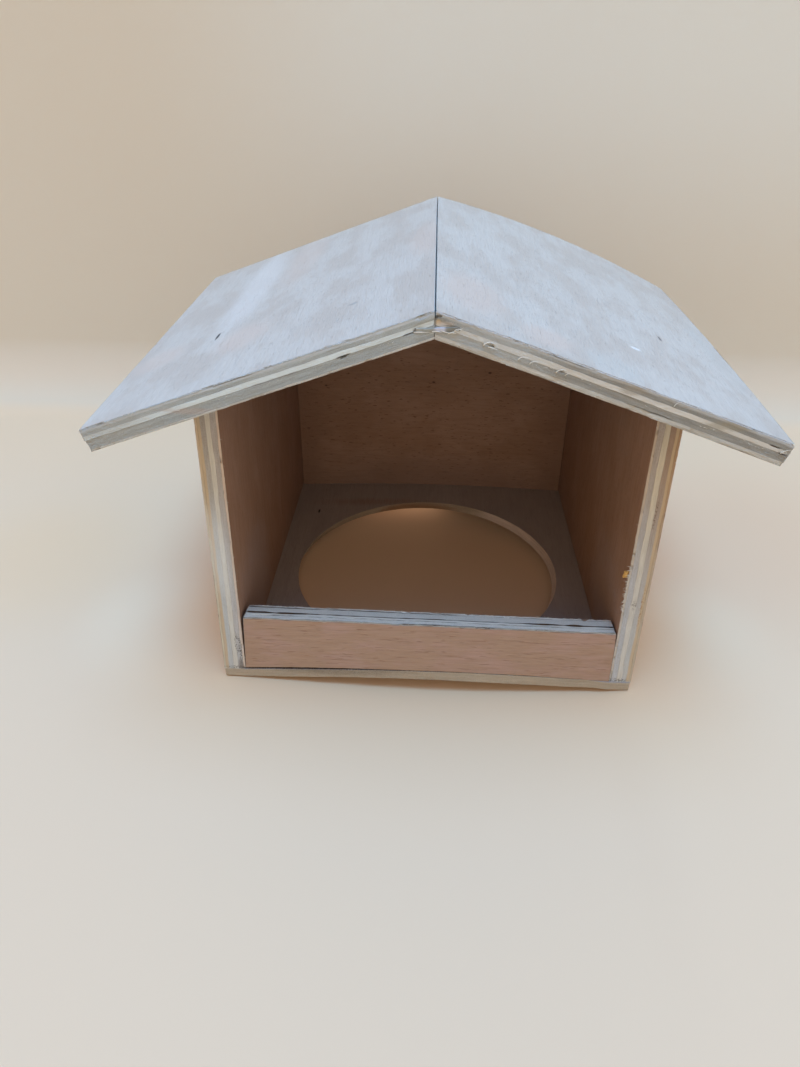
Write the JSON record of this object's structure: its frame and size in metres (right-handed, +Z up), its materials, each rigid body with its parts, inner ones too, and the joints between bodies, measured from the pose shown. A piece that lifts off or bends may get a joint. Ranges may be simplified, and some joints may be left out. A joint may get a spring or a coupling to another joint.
{
  "type": "open-fronted plywood nest box",
  "caption": "Open-fronted plywood nest box with a gabled two-panel roof, a low front lip and a round nest-pan hole in its floor.",
  "frame": {"origin": "on the level that the box stands on, under the middle of the roof's outline (the centre of the whole box's footprint)", "axes": "+Z up, +X to the right of someone facing the open front, +Y from the open front to the back wall"},
  "size_m": [0.1652, 0.1343, 0.1157],
  "materials": {
    "roof_face": "dry sanded veneer, greyish white with pinkish beige patches",
    "roof_underside": "dry veneer, pinkish beige",
    "outer_face": "dry veneer, pinkish brown with fine straight grain",
    "inner_face": "dry veneer, reddish brown",
    "crossband_ply": "sawn end grain, greyish",
    "core_ply": "sawn edge, pale cream",
    "floor_board": "dry thin plywood, grey-olive",
    "staple_wire": "galvanised flat wire, slightly dull"
  },
  "bodies": {
    "root": {"left_wall_outer_veneer": "outer_face", "left_wall_outer_band": "crossband_ply", "left_wall_core": "core_ply", "left_wall_inner_band": "crossband_ply", "left_wall_inner_veneer": "inner_face", "right_wall_outer_veneer": "outer_face", "right_wall_outer_band": "crossband_ply", "right_wall_core": "core_ply", "right_wall_inner_band": "crossband_ply", "right_wall_inner_veneer": "inner_face", "back_wall_inner_veneer": "inner_face", "back_wall_inner_band": "crossband_ply", "back_wall_core": "core_ply", "back_wall_outer_band": "crossband_ply", "back_wall_outer_veneer": "outer_face", "front_lip_face_veneer": "outer_face", "front_lip_face_band": "crossband_ply", "front_lip_core": "core_ply", "front_lip_back_band": "crossband_ply", "front_lip_back_veneer": "inner_face", "left_roof_under_veneer": "roof_underside", "left_roof_lower_band": "crossband_ply", "left_roof_core": "core_ply", "left_roof_upper_band": "crossband_ply", "left_roof_top_veneer": "roof_face", "right_roof_under_veneer": "roof_underside", "right_roof_lower_band": "crossband_ply", "right_roof_core": "core_ply", "right_roof_upper_band": "crossband_ply", "right_roof_top_veneer": "roof_face", "floor_panel": "floor_board", "ridge_staple": "staple_wire"}
  },
  "joints": []
}
